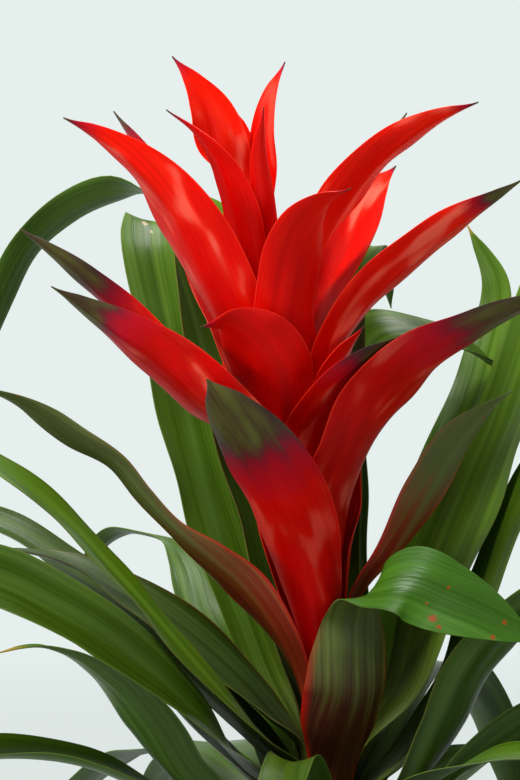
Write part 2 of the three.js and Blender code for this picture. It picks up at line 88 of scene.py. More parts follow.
# Each blade: turn is the azimuth of its foot, foot its height on the stem, and via the stations that its
# midrib passes after the clasping base: (x, y, z, width, roll in degrees). The last station is the tip.
BRACTS = {
    "bract_back_left_low": dict(turn=128, foot=124, wrap=0.8, via=[(-22, 23, 200, 23, 0),
        (-31, 33, 235, 22, 0), (-40, 40, 262, 12, 0), (-46, 44, 278, 1.4, 0)]),
    "bract_front_low": dict(turn=262, foot=130, via=[(-19, -31, 205, 36, 0), (-32, -44, 227, 34, 0),
        (-41, -50, 241, 22, 0), (-46, -53, 249, 11, 0), (-48.5, -54, 253, 2.5, 0)]),
    "bract_back_right_low": dict(turn=36, foot=136, via=[(8, 18, 205, 22, 0), (7, 23, 230, 20, 0),
        (5, 27, 250, 10, 0), (4, 30, 264, 1.4, 0)]),
    "bract_stalk": dict(turn=210, foot=142, wrap=0.8, via=[(-29, -18, 206, 26, 0),
        (-33, -27, 222, 13, 0), (-35, -33, 234, 1.4, 0)]),
    "bract_left_olive": dict(turn=177, foot=149, wrap=0.85, via=[(-46, 10, 236, 26, 10),
        (-64, 6, 257, 26, 25), (-83, 0, 275.5, 20, 35), (-101, -6, 292, 13, 40),
        (-123, -10, 309, 1.4, 30)]),
    "bract_right_long_low": dict(turn=314, foot=155, flare=0.32, via=[(10, -21, 222, 38, 0),
        (20, -27, 242, 39, -15), (38, -34, 260, 35, -20), (57, -38, 271, 26, -20),
        (78, -42, 281.5, 17, -15), (94, -45, 287, 10, -10), (109, -47, 291, 1.4, 0)]),
    "bract_back_low": dict(turn=92, foot=161, via=[(-17, 22, 230, 24, 0), (-19, 27, 252, 14, 0),
        (-21, 31, 270, 1.4, 0)]),
    "bract_left_folded": dict(turn=230, foot=167, via=[(-32, -23, 228, 26, 5), (-48, -29, 243, 28, 28),
        (-66, -32, 259, 25, 38), (-84, -37, 272, 17, 40), (-98, -40, 281, 9, 30),
        (-109, -42, 288, 1.4, 20)]),
    "bract_right_folded": dict(turn=286, foot=173, wrap=0.75, via=[(-5, -17, 230, 28, 0),
        (2, -25, 243, 29, 0), (10, -32, 253, 27, 0), (18, -36, 261, 18, 0), (27, -39, 269, 1.4, 0)]),
    "bract_front_cup": dict(turn=250, foot=181, wrap=0.85, via=[(-21, -22, 243, 30, 0),
        (-23, -26, 254, 33, 5), (-31, -30, 266, 29, 20), (-41, -34, 272.5, 14, 40),
        (-51, -37, 272, 1.4, 50)]),
    "bract_left_rear": dict(turn=145, foot=187, wrap=0.85, via=[(-38, 14, 256, 27, 0),
        (-52, 17, 288, 27, 0), (-65, 19, 317, 23, 0), (-77, 20, 340, 12, 0), (-87, 21, 355, 1.4, 0)]),
    "bract_right_filler": dict(turn=330, foot=187, wrap=0.6, via=[(0, -11, 248, 20, 0),
        (6, -15, 260, 17, 0), (13, -18, 271, 1.4, 0)]),
    "bract_right_long": dict(turn=7, foot=193, via=[(2, -5, 260, 30, -10), (12, -9, 277, 31, -18),
        (22, -11, 288, 29, -25), (37, -13, 301.5, 25, -30), (55, -14, 315, 17, -30),
        (66, -15, 322, 9, -25), (76, -15, 329, 1.4, -20)]),
    "bract_right_rear": dict(turn=78, foot=200, wrap=0.65, via=[(-9, 25, 268, 20, 0),
        (1, 34, 298, 24, 0), (14, 40, 326, 15, 0), (32, 42, 354, 1.4, 0)]),
    "bract_mid_right": dict(turn=300, foot=206, via=[(-18, -22, 272, 26, 0), (-16, -25, 289, 27, 0),
        (-13, -27, 302, 28, 0), (-8, -29, 313, 25, 5), (-1, -29, 321, 14, 10),
        (7.5, -28, 325.5, 1.4, 10)]),
    "bract_left_large": dict(turn=197, foot=213, via=[(-41, -9, 270, 36, 10), (-49, -13, 293, 36, 20),
        (-61, -17, 317, 30, 28), (-75, -20, 334.5, 19, 35), (-90, -22, 345.5, 9.5, 38),
        (-105, -23, 353, 1.4, 30)]),
    "bract_right_pale": dict(turn=30, foot=213, via=[(-3, 15, 278, 27, 5), (9, 22, 303, 28, 20),
        (18, 23, 321, 20, 20), (27, 23, 333, 1.4, 20)]),
    "bract_right_upper": dict(turn=345, foot=220, via=[(-9, -3, 272, 25, 0), (-6, -5, 297, 29, -8),
        (5, -8, 319, 29, -24), (20, -12, 337.5, 23, -30), (40, -14, 351.5, 12, -35),
        (58, -15, 359, 1.4, -20)]),
    "bract_top_rear": dict(turn=112, foot=237, flare=0.13, hug=60, via=[(-36, 16, 330, 18, 0),
        (-39, 18, 347, 13, 0), (-41, 19, 360, 1.4, 0)]),
    "bract_top_narrow": dict(turn=235, foot=246, flare=0.1, via=[(-39, -12, 322, 18, 0),
        (-43, -13, 333, 14, 0), (-48, -14, 341, 10, 0), (-55, -14, 348.5, 5, 0),
        (-65, -14, 356, 1.4, 0)]),
    "bract_top_small": dict(turn=320, foot=254, flare=0.1, wrap=0.8, via=[(-26, -8, 320, 11, 0),
        (-28, -8, 338, 8, 0), (-26.5, -8, 357, 1.4, 0)]),
    "bract_top_left": dict(turn=155, foot=262, flare=0.1, wrap=0.7, via=[(-40, 4, 328, 21, -10),
        (-44, 5, 341, 24, -40), (-50, 5, 358, 18, -45), (-56, 5, 368, 9, -40),
        (-63, 5, 377, 1.4, -30)]),
    "bract_top_right": dict(turn=50, foot=270, flare=0.08, wrap=0.7, via=[(-25, 8, 332, 14, 0),
        (-25.5, 9, 347, 14, 0), (-23.5, 9, 361, 10, 0), (-18, 9, 374.8, 1.4, 0)]),
}

LEAVES = {
    "leaf_bract_right": dict(turn=347, foot=112, via=[(12, -4, 163, 11, -20), (24, -6, 180, 13, -45),
        (39, -9, 206, 20, -50), (53, -11, 228, 17, -45), (63, -12, 238, 9, -30),
        (72, -13, 245, 1.4, 0)]),
    "leaf_bract_left": dict(turn=205, foot=100, via=[(-23, -13, 151, 20, 15), (-35, -18, 168, 21, 28),
        (-48, -22, 179.5, 16, 40), (-60, -25.5, 190, 8, 55), (-74, -29, 205, 8, 55),
        (-84, -31, 217.5, 9, 50), (-101, -35, 228.5, 11.5, 50), (-111, -38, 236, 11, 45),
        (-121, -40.5, 242.5, 7.5, 35), (-133, -43.5, 247.5, 3.5, 20), (-140, -45, 249.5, 1.4, 10)]),
    "leaf_bract_front": dict(turn=285, foot=67, wrap=0.95, flare=0.22, via=[(6, -18, 108, 38, 0),
        (10, -21, 124, 43, 0), (10, -22, 141, 38, 0), (10, -23, 156, 27, 0), (12, -27, 164, 24, 10),
        (19, -33, 168, 27, 40), (31, -38, 170.5, 32, 58), (44, -42, 166, 30, 60),
        (60, -46, 159.5, 21, 55), (80, -51, 149, 1.4, 50)]),
    "leaf_rear_right": dict(turn=80, foot=96, via=[(3, 22, 150, 20, 0), (3, 28, 200, 26, 0),
        (6, 36, 250, 24, 0), (12, 46, 287, 16, 0), (18, 60, 298, 12, 0), (24, 84, 289, 9, 0),
        (28, 104, 270, 1.4, 0)]),
    "leaf_rear_brown": dict(turn=154, foot=88, via=[(-19, 15, 145, 20, 0), (-28, 31, 190, 24, 0),
        (-42, 46, 236, 24, 0), (-54, 56, 272, 18, 0), (-64, 62, 304, 1.4, 0)]),
    "leaf_left_dark": dict(turn=185, foot=74, via=[(-24, 1, 112, 25, -10), (-40, 4, 129, 28, -20),
        (-60, 5, 146, 28, -30), (-82, 4, 162, 23, -25), (-104, -1, 174, 16, -10), (-124, -8, 180, 9, 0),
        (-140, -13, 181, 1.4, 0)]),
    "leaf_back_left_broad": dict(turn=122, foot=68, via=[(-22, 30, 125, 28, 0), (-38, 43, 166, 38, 0),
        (-55, 58, 222, 40, 5), (-66, 73, 273, 40, 5), (-71, 88, 299, 36, 0), (-71, 101, 307, 28, 0),
        (-70, 115, 299, 19, 0), (-69, 127, 278, 1.4, 0)]),
    "leaf_right_broad": dict(turn=28, foot=68, wrap=0.5, via=[(31, 14, 118, 28, 5),
        (43, 24, 156, 34, 12), (61, 37, 197, 36, 12), (78, 50, 238, 37, 5), (90, 64, 274, 36, 0),
        (103, 84, 308, 30, 0), (114, 118, 330, 24, 0), (126, 160, 318, 14, 0),
        (136, 190, 288, 1.4, 0)]),
    "leaf_back_thin_arch": dict(turn=85, foot=62, wrap=0.5, via=[(7, 34, 124, 18, 0),
        (5, 48, 190, 26, 0), (8, 62, 241, 26, 5), (22, 74, 262, 24, 25), (48, 84, 259, 22, 35),
        (78, 92, 241, 17, 20), (105, 98, 216, 1.4, 0)]),
    "leaf_left_bright": dict(turn=207, foot=60, wrap=0.6, via=[(-30, -16, 108, 23, -15),
        (-52, -25, 133, 23, -30), (-84, -37, 173, 24, -30), (-107, -44, 199, 24, -30),
        (-129, -52, 218, 23, -25), (-165, -64, 238, 21, -20), (-205, -76, 238, 18, -10),
        (-240, -86, 216, 10, 0), (-262, -92, 186, 1.4, 0)]),
    "leaf_back_right_upright": dict(turn=45, foot=56, via=[(26, 42, 122, 24, 0), (45, 85, 190, 26, 0),
        (68, 112, 245, 22, 0), (74, 124, 280, 14, 0), (62, 132, 304, 1.4, 0)]),
    "leaf_left_shade_upper": dict(turn=172, foot=54, via=[(-30, 6, 102, 27, -8), (-50, 9, 121, 28, -12),
        (-76, 12, 147, 28, -12), (-104, 14, 170, 26, -14), (-132, 16, 187, 24, -14),
        (-170, 18, 196, 20, 0), (-210, 20, 186, 12, 0), (-240, 22, 161, 1.4, 0)]),
    "leaf_right_pale": dict(turn=10, foot=50, via=[(31, 5, 95, 26, 5), (50, 8, 124, 26, 10),
        (64, 12, 163, 26, 14), (73, 16, 185, 26, 14), (88, 22, 214, 25, 10), (108, 30, 242, 22, 5),
        (135, 42, 254, 18, 0), (160, 52, 246, 11, 0), (180, 60, 230, 1.4, 0)]),
    "leaf_left_striped": dict(turn=211, foot=48, via=[(-33, -26, 96, 26, -12),
        (-53, -41, 120.5, 29, -40), (-83, -53, 148.5, 30, -55), (-105, -59, 164, 30, -57),
        (-128, -64, 176.5, 29, -54), (-165, -76, 182, 26, -34), (-205, -88, 170, 16, -14),
        (-238, -98, 144, 1.4, 0)]),
    "leaf_back_left_arch": dict(turn=100, foot=47, via=[(-6, 46, 120, 22, 0), (-8, 76, 195, 27, 0),
        (-20, 108, 262, 27, 0), (-40, 122, 296, 26, 8), (-62, 130, 313, 24, 18),
        (-86, 134, 319, 22, 22), (-109, 139, 312, 19, 14), (-128, 146, 296, 18, 5),
        (-142, 150, 271, 16, 0), (-156, 154, 230, 12, 0), (-166, 157, 190, 1.4, 0)]),
    "leaf_right_front": dict(turn=325, foot=46, via=[(27, -12, 80, 27, 0), (46, -18, 110.5, 29, -22),
        (56, -22, 133, 30, -26), (68, -27, 150, 30, -26), (90, -36, 170, 27, -15),
        (120, -48, 180, 21, -5), (150, -60, 170, 12, 0), (174, -70, 146, 1.4, 0)]),
    "leaf_front_fold": dict(turn=262, foot=38, wrap=0.7, trough=0.7, via=[(-9, -36, 86, 23, 0),
        (-13, -48, 100, 22, 0), (-16, -64, 105, 20, 0), (-19, -84, 100, 20, 0), (-24, -106, 77, 16, 0),
        (-28, -124, 42, 10, 0), (-32, -133, 14, 1.4, 0)]),
    "leaf_left_shade_lower": dict(turn=178, foot=40, via=[(-34, -3, 89, 26, -5),
        (-56, -9, 112, 27, -12), (-76, -13, 134, 27, -12), (-100, -16, 154, 25, -12),
        (-132, -19, 171, 24, -10), (-170, -20, 180, 20, 0), (-208, -24, 168, 12, 0),
        (-236, -28, 144, 1.4, 0)]),
    "leaf_right_front_low": dict(turn=305, foot=34, via=[(24, -33, 80, 27, 0), (42, -50, 97, 28, 5),
        (62, -66, 107, 26, 10), (86, -84, 110, 21, 10), (108, -100, 100, 13, 0),
        (128, -114, 78, 1.4, 0)]),
    "leaf_back_left_low": dict(turn=133, foot=34, via=[(-24, 36, 98, 24, 0), (-40, 52, 122, 24, 0),
        (-54, 70, 145, 21, 0), (-60, 90, 161, 16, 5), (-67, 104, 169, 12, 10), (-77, 112, 171.5, 9, 12),
        (-89, 122, 171, 14, 14), (-98, 130, 164, 12, 0), (-106, 138, 148, 1.4, 0)]),
    "leaf_right_low": dict(turn=350, foot=28, via=[(38, -6, 78, 26, 0), (60, -11, 97, 28, -25),
        (85, -18, 114, 30, -35), (115, -24, 121, 26, -25), (150, -32, 112, 18, -10),
        (180, -38, 92, 1.4, 0)]),
    "leaf_left_short": dict(turn=220, foot=18, wrap=0.55, via=[(-40, -30, 76, 27, 10),
        (-62, -43, 101, 30, 12), (-69, -54, 115, 30, 12), (-79, -68, 130.5, 26, 10),
        (-87, -80, 141, 19, 8), (-95, -90, 149, 13, 5), (-103, -99, 154, 10, 0),
        (-110, -106, 157, 6, 0), (-117, -112, 157.5, 4, 0), (-125, -118, 156.5, 1.2, 0)]),
    "leaf_left_floor": dict(turn=200, foot=8, trough=0.7, via=[(-40, -15, 60, 28, 0),
        (-66, -24, 81, 29, -4), (-95, -36, 98, 30, -6), (-129, -47, 105, 29, -6),
        (-170, -60, 98, 24, 0), (-212, -74, 74, 17, 0), (-246, -84, 40, 10, 0), (-268, -92, 2, 2, 0)]),
}

# The leaves below and behind follow one arch of (distance out, height, width). Each scales its reach and
# its lift and turns it to its own place. tip_rise is how far it then keeps its tip off the floor.
ARCH = [(44, 78, 28), (70, 98, 30), (105, 110, 31), (150, 104, 29), (200, 76, 23), (236, 36, 14),
        (256, 1.6, 2.4)]
ARCHED = {
    "leaf_back_right_low": dict(turn=62, foot=38, reach=0.8, lift=1.1),
    "leaf_back_middle": dict(turn=88, foot=28, reach=0.9, lift=1.0, tip_rise=45),
    "leaf_front_hidden": dict(turn=278, foot=25, wrap=0.5, reach=0.8, lift=0.84),
    "leaf_back_left_outer": dict(turn=128, foot=22, reach=0.85, lift=0.75),
    "leaf_right_hidden": dict(turn=0, foot=20, reach=0.95, lift=0.75),
    "leaf_back_right_outer": dict(turn=52, foot=14, reach=0.95, lift=0.72),
    "leaf_floor_back": dict(turn=110, foot=8, reach=1.0, lift=0.7),
    "leaf_floor_right": dict(turn=15, foot=8, reach=1.0, lift=0.7),
    "leaf_floor_front": dict(turn=292, foot=8, reach=0.85, lift=0.66),
}

# How each blade is coloured and creased. end is the pair of distances back from the tip between which the
# colour of the tip gives way to that of the body. tone runs from deep or dark (0) to bright (1); it is
# partly the blade's own colour and partly painted light and shade, brighter where a blade is lit. flush is
# how red the margins of a leaf or the base of a leaf_bract is, and how strong the painted satin sheen and
# glints of a bract are. crease is how deep the fold along the midrib is.
LOOKS = {
    "bract_back_left_low": dict(end=(8, 18), tone=0.3),
    "bract_front_low": dict(end=(34, 50), tone=0.5, flush=0.3),
    "bract_back_right_low": dict(end=(8, 18), tone=0.3),
    "bract_stalk": dict(end=(3, 8), tone=0.2),
    "bract_left_olive": dict(end=(36, 50), tone=0.95, crease=1.2, flush=1),
    "bract_right_long_low": dict(end=(54, 74), tone=0.15, flush=0.4),
    "bract_back_low": dict(end=(8, 16), tone=0.3),
    "bract_left_folded": dict(end=(22, 34), tone=0.1, crease=3.6, flush=1),
    "bract_right_folded": dict(end=(16, 26), tone=0.3, flush=0.9),
    "bract_front_cup": dict(end=(1, 4), tone=0.25),
    "bract_left_rear": dict(end=(6, 16), tone=0.3, flush=0.8),
    "bract_right_long": dict(end=(15, 22), tone=0.8, crease=1.2, flush=0.9),
    "bract_right_filler": dict(end=(1, 3), tone=0.35),
    "bract_left_large": dict(end=(1, 9), tone=0.65, crease=3.0, flush=0.6),
    "bract_right_rear": dict(end=(6, 14), tone=0.4),
    "bract_right_upper": dict(end=(1, 7), tone=0.85, crease=1.4, flush=0.6),
    "bract_right_pale": dict(end=(1, 3), tone=0.6, flush=1),
    "bract_mid_right": dict(end=(1, 4), tone=0.55),
    "bract_top_rear": dict(end=(2, 6), tone=0.6),
    "bract_top_narrow": dict(end=(1, 8), tone=0.35),
    "bract_top_small": dict(end=(0, 3), tone=0.45),
    "bract_top_left": dict(end=(0, 6), tone=0.9, flush=0.9),
    "bract_top_right": dict(end=(0, 4), tone=0.65, flush=0.3),
    "leaf_bract_right": dict(end=(45, 90), tone=0.2, flush=1),
    "leaf_bract_left": dict(end=(85, 150), tone=0.3, flush=1),
    "leaf_bract_front": dict(end=(104, 130), tone=0.9, flush=0),
    "leaf_back_left_arch": dict(end=(2, 6), tone=1.0),
    "leaf_back_left_broad": dict(end=(2, 6), tone=0.6),
    "leaf_right_broad": dict(end=(2, 6), tone=0.8),
    "leaf_back_right_upright": dict(end=(2, 6), tone=0.7),
    "leaf_left_bright": dict(end=(1, 3), tone=1.0, flush=0.3),
    "leaf_left_striped": dict(end=(1, 3), tone=0.3, crease=1.2),
    "leaf_left_dark": dict(end=(1, 3), tone=0.0, flush=0.35),
    "leaf_left_shade_upper": dict(end=(1, 3), tone=0.15, crease=1.0),
    "leaf_left_shade_lower": dict(end=(1, 3), tone=0.15),
    "leaf_rear_brown": dict(end=(1, 3), tone=0.1, flush=0.4),
    "leaf_left_floor": dict(end=(2, 6), tone=0.7),
    "leaf_left_short": dict(end=(4, 16), tone=0.5),
    "leaf_right_low": dict(end=(1, 3), tone=0.1),
    "leaf_right_pale": dict(end=(1, 3), tone=0.7, crease=1.0),
    "leaf_right_front": dict(end=(1, 3), tone=0.4, flush=0.2),
    "leaf_right_front_low": dict(end=(1, 3), tone=0.55),
    "leaf_rear_right": dict(end=(1, 3), tone=0.7),
    "leaf_back_left_low": dict(end=(1, 3), tone=0.45),
}
LEAF_LOOK = dict(end=(2, 6), tone=0.35)

# Rust spots and dry marks: (distance from the tip, distance from the midrib, radius).
MARKS = {
    "leaf_bract_front": [(41, 4.4, 0.7), (41.5, -9.5, 1.5), (46, -4.7, 0.6), (38, -12, 1.0),
                         (15.6, 1.4, 0.9), (16.7, -6.5, 1.0), (5, 0, 0.8)],
    "leaf_bract_right": [(16, 2, 0.8)],
    "leaf_bract_left": [(18, 5, 1.8), (21, 5, 1.2), (3, 0, 1.2)],
    "leaf_back_left_broad": [(47, 6, 1.4), (51, 3, 0.8)],
}

# The colours of each material, as #rrggbb. Two in brackets alternate in streaks. Those called shade are
# painted shade; the bract's scarlet is partly painted light, and its satin sheen and glint and the leaf's
# sheen are painted highlights.
BRACT_COLOURS = dict(
    shade="#8c0000", red="#ca0200", scarlet="#f01c02", vein="#800002", thread="#ff3010", rim="#ff4a30",
    painted_sheen="#ff482c", painted_glint="#ff947c", magenta="#a80c1c", purple="#641828",
    olive=("#3c2e1c", "#565826"), olive_vein="#48202c", olive_rim="#38222c")
LEAF_COLOURS = dict(
    dark_top=("#1c2a04", "#2e4208"), bright_top=("#4a700c", "#62881a"),
    dark_under=("#1e3208", "#2e4610"), bright_under=("#44641a", "#58782c"),
    shade="#142004", sheen="#7c9c58", vein="#101c02", red_rim="#5c1c0c", pale_rim="#7a8c3c",
    base=("#3a2c10", "#5c5424"), tip="#8a7420", dry="#988c6c")
HALF_BRACT_COLOURS = dict(
    brown=("#3a140c", "#502414"), red=("#76180a", "#9a3618"), under=("#384214", "#545c24"), rib="#788050",
    dark_top="#3a4412", bright_top=("#2e5a0c", "#3e6c16"), shade="#24400e", vein="#1c1206",
    rim="#a81408", rust="#7a3808")
STEM_COLOURS = dict(bark=("#4c4a22", "#8a8a48"), pith=("#c9c39a", "#e2ddbb"))
NOISE_LOW, NOISE_HIGH = 0.34, 0.66  # nearly all of a noise lies between these

# The surroundings, in metres: a room that is brightest behind the plant, and a floor that turns into that
# backdrop between a near and a far distance from the plant. The fades are from dim to lit, along +Y for
# what is behind and along +Z for what is overhead, in the world's own directions.
BACKDROP = (0.79, 0.865, 0.845, 1)
ROOM = 0.12
BEHIND_FADE = (-0.35, 0.35)
OVERHEAD_FADE = (0.8, 0.35)
FLOOR = (0.42, 0.45, 0.44, 1)
FLOOR_NEAR, FLOOR_FAR = 0.1, 0.9
FLOOR_RADIUS, FLOOR_SIDES = 300, 96
BLACK = (0, 0, 0, 1)

# Soft lights, in metres and watts: where each hangs, how wide it is and its power. All face one point in
# the flower head.
SOFTBOXES = {
    "key": ((-0.55, -0.5, 1.25), 0.4, 25.0),
    "top": ((0.35, 0.45, 1.25), 0.5, 13.0),
    "side": ((-1.35, -0.8, 0.45), 0.35, 9.0),
    "fill": ((1.0, -1.2, 0.55), 0.3, 4.0),
}
SOFTBOX_AIM = (-0.02, 0, 0.22)


def lookup(pairs, key):
    """Straight-line lookup in a list of (key, value) pairs, held at both ends."""
    if key <= pairs[0][0]:
        return pairs[0][1]
    for (low, start), (high, end) in zip(pairs, pairs[1:]):
        if key < high:
            return start + (end - start) * (key - low) / (high - low)
    return pairs[-1][1]


def smooth_rows(rows):
    """A smooth curve through rows of numbers, paced by the distance between their first three.

    It comes as a function that gives the row at a share of the curve's length, and that length.
    """
    knots = [0.0]
    for a, b in zip(rows, rows[1:]):
        knots.append(knots[-1] + math.dist(a[:3], b[:3]))
    last = len(rows) - 1

    def slope(k, c):
        """How steep column c is between row k and the next."""
        return (rows[k + 1][c] - rows[k][c]) / (knots[k + 1] - knots[k])

    def tangent(k, c):
        """How steep column c is at row k."""
        if k == 0:
            return slope(0, c)
        if k == last:
            return slope(last - 1, c)
        before, after = knots[k] - knots[k - 1], knots[k + 1] - knots[k]
        return (slope(k - 1, c) * after + slope(k, c) * before) / (before + after)

    def at(share):
        """The row at a share of the length, on the cubic curve between its two neighbours."""
        run = share * knots[last]
        k = 0
        while k < last - 1 and knots[k + 1] < run:
            k += 1
        span = knots[k + 1] - knots[k]
        f = (run - knots[k]) / span
        f2, f3 = f * f, f * f * f
        return [(2 * f3 - 3 * f2 + 1) * rows[k][c] + (f3 - 2 * f2 + f) * span * tangent(k, c)
                + (3 * f2 - 2 * f3) * rows[k + 1][c] + (f3 - f2) * span * tangent(k + 1, c)
                for c in range(len(rows[0]))]

    return at, knots[last]


def sheath(kind):
    """The foot and the clasping base: stations on the stem's own side, each further out."""
    radius = lookup(STEM_PROFILE, kind["foot"]) + SEAT_GAP + kind["thick"] / 2
    turn = math.radians(kind["turn"])
    rows = []
    for rise in (0, kind["hug"] / 2, kind["hug"]):
        out = radius + kind["flare"] * rise
        z = kind["foot"] + rise
        rows.append((lookup(STEM_LEAN, z) + out * math.cos(turn), out * math.sin(turn), z,
                     2 * kind["wrap"] * out, 0))
    return rows


def arch_rows(kind):
    """Stations of a leaf that follows the common arch."""
    tip_out, tip_z, _ = ARCH[-1]
    turn = math.radians(kind["turn"])
    return [(out * kind["reach"] * math.cos(turn), out * kind["reach"] * math.sin(turn),
             tip_z + (z - tip_z) * kind["lift"] + kind.get("tip_rise", 0) * (out / tip_out) ** 2, width, 0)
            for out, z, width in ARCH]


def blade_frame(path, share, kind):
    """Midrib point, across, towards the upper face, width and half angle at one share of the length."""
    nearby = 1e-3  # share of the length over which the direction is measured
    row = path(share)
    here = Vector(row[:3])
    behind, ahead = path(max(0, share - nearby)), path(min(1, share + nearby))
    along = (Vector(ahead[:3]) - Vector(behind[:3])).normalized()
    out = Vector((here.x - lookup(STEM_LEAN, here.z), here.y, 0))
    across = Vector((-out.y, out.x, 0)).normalized()
    across = (across - along * across.dot(along)).normalized()
    up = along.cross(across)
    roll = math.radians(row[4])
    side = across * math.cos(roll) + up * math.sin(roll)
    face = up * math.cos(roll) - across * math.sin(roll)
    width = max(row[3], TIP_SIZE)
    bend = min(kind["wrap"], max(kind["trough"], width / (2 * out.length)))
    return here, side, face, width, bend


def relief(kind, seed, start, run, t, width, free):
    """How far a blade stands off its plain arc, t half widths from the midrib and run from its foot.

    start is the phase with which this margin's waves begin. free is 0 in the clasping base and at the
    tip, where there is no room for most of the relief, and 1 between them.
    """
    full = min(1, width / FULL_WIDTH)
    phase = start + 2 * math.pi * run / kind["wave_length"]
    ripple = kind["wave"] * free * full * abs(t) ** WAVE_POWER * math.sin(phase)
    rib = RIB_DEPTH * math.exp(-(t / RIB_WIDTH) ** 2) * full
    fold = kind["crease"] * free * full * (1 - abs(t)) ** CREASE_POWER
    pleat = PLEAT_DEPTH * free * math.cos(2 * math.pi * PLEATS * t)
    spot = (run / SWELL_LENGTH, t * width / (2 * SWELL_WIDTH), seed)
    swell = SWELL_DEPTH * free * min(1, width / SWELL_FULL_WIDTH) * noise.noise(spot)
    return ripple + pleat + swell - rib - fold


def blade_mesh(name, rows, kind, seed):
    """A closed blade: a fine upper and lower face, thin at its waving margins, with a midrib."""
    path, length = smooth_rows(rows)
    steps = kind["steps"]
    rng = random.Random(seed)
    first_margin, second_margin = rng.uniform(0, 2 * math.pi), rng.uniform(0, 2 * math.pi)
    free_from = kind["hug"] / length
    end_from, end_to = kind["end"]
    upper, lower, places, tints, shares = [], [], [], [], []
    for k in range(steps + 1):
        share = k / steps
        here, side, face, width, bend = blade_frame(path, share, kind)
        run = share * length
        to_tip = length - run
        width = max(TIP_SIZE, width * math.sqrt(min(1, to_tip / TIP_RUN)))
        thick = min(kind["thick"], TIP_SIZE + to_tip * kind["thick"] / TIP_RUN)
        arc = width / (2 * bend)
        free = min(1, max(0, (share - free_from) * RELIEF_IN)) * min(1, (1 - share) * RELIEF_OUT)
        ripe = (end_to - to_tip) / (end_to - end_from)
        for j in range(ACROSS + 1):
            t = 2 * j / ACROSS - 1
            angle = bend * t
            spread = face * (arc - arc * math.cos(angle)) + side * (arc * math.sin(angle))
            out = face * math.cos(angle) - side * math.sin(angle)
            start = second_margin if t > 0 else first_margin
            middle = here + spread + out * relief(kind, seed, start, run, t, width, free)
            half = out * (thick / 2 * (1 - EDGE_THIN * abs(t) ** EDGE_POWER))
            upper.append((middle + half) * MM)
            lower.append((middle - half) * MM)
            places.append((to_tip, t * width / 2, seed * 10.0))
            tints.append((ripe, kind["tone"], kind["flush"]))
            shares.append((share, t))
    mesh = bpy.data.meshes.new(name)
    mesh.from_pydata(upper + lower, [], sheet_faces(steps, ACROSS))
    write_attribute(mesh, "place", places * 2)
    write_attribute(mesh, "tint", tints * 2)
    write_attribute(mesh, "blade", [(s, t, 1.0) for s, t in shares] + [(s, t, 0.0) for s, t in shares])
    smooth(mesh)
    return mesh


def sheet_faces(steps, across):
    """The quads round a thin sheet whose upper points come first, row by row, and then the lower ones."""
    ring = across + 1
    base = (steps + 1) * ring
    faces = []
    for k in range(steps):
        for j in range(across):
            a = k * ring + j
            faces.append((a, a + ring, a + ring + 1, a + 1))
            faces.append((base + a, base + a + 1, base + a + ring + 1, base + a + ring))
        left, right = k * ring, k * ring + across
        faces.append((left, base + left, base + left + ring, left + ring))
        faces.append((right, right + ring, base + right + ring, base + right))
    last = steps * ring
    for j in range(across):
        faces.append((j, j + 1, base + j + 1, base + j))
        faces.append((last + j, base + last + j, base + last + j + 1, last + j + 1))
    return faces


def write_attribute(mesh, name, values):
    """Three numbers for every point of a mesh, for its material to read."""
    attribute = mesh.attributes.new(name, "FLOAT_VECTOR", "POINT")
    attribute.data.foreach_set("vector", [number for value in values for number in value])


def smooth(mesh):
    """Smooth shading, but for sharp edges."""
    for polygon in mesh.polygons:
        polygon.use_smooth = True
    mesh.set_sharp_from_angle(angle=math.radians(SHARP_ANGLE))


def stem_mesh():
    """The stem with the low rings that old leaves left, closed by its flat cut."""
    top = STEM_PROFILE[-1][0]
    heights = sorted({z for z, _ in STEM_PROFILE} | set(range(0, top, STEM_STEP)))
    points = []
    for z in heights:
        radius = lookup(STEM_PROFILE, z)
        if SCARS_FROM < z < SCARS_TO:
            radius -= SCAR_DEPTH * abs(math.sin(math.pi * z / SCAR_SPACING))
        for j in range(STEM_SIDES):
            angle = 2 * math.pi * j / STEM_SIDES
            points.append(Vector((lookup(STEM_LEAN, z) + radius * math.cos(angle),
                                  radius * math.sin(angle), z)) * MM)
    faces = []
    for k in range(len(heights) - 1):
        for j in range(STEM_SIDES):
            a, b = k * STEM_SIDES + j, k * STEM_SIDES + (j + 1) % STEM_SIDES
            faces.append((a, b, b + STEM_SIDES, a + STEM_SIDES))
    faces.append(tuple(reversed(range(STEM_SIDES))))
    last = (len(heights) - 1) * STEM_SIDES
    faces.append(tuple(range(last, last + STEM_SIDES)))
    mesh = bpy.data.meshes.new("stem")
    mesh.from_pydata(points, [], faces)
    smooth(mesh)
    return mesh


def linear(code):
    """A colour written as #rrggbb, in the linear numbers that shaders take, by the sRGB curve."""
    def channel(at):
        value = int(code[at:at + 2], 16) / 255
        return value / 12.92 if value <= 0.04045 else ((value + 0.055) / 1.055) ** 2.4
    return (channel(1), channel(3), channel(5), 1.0)


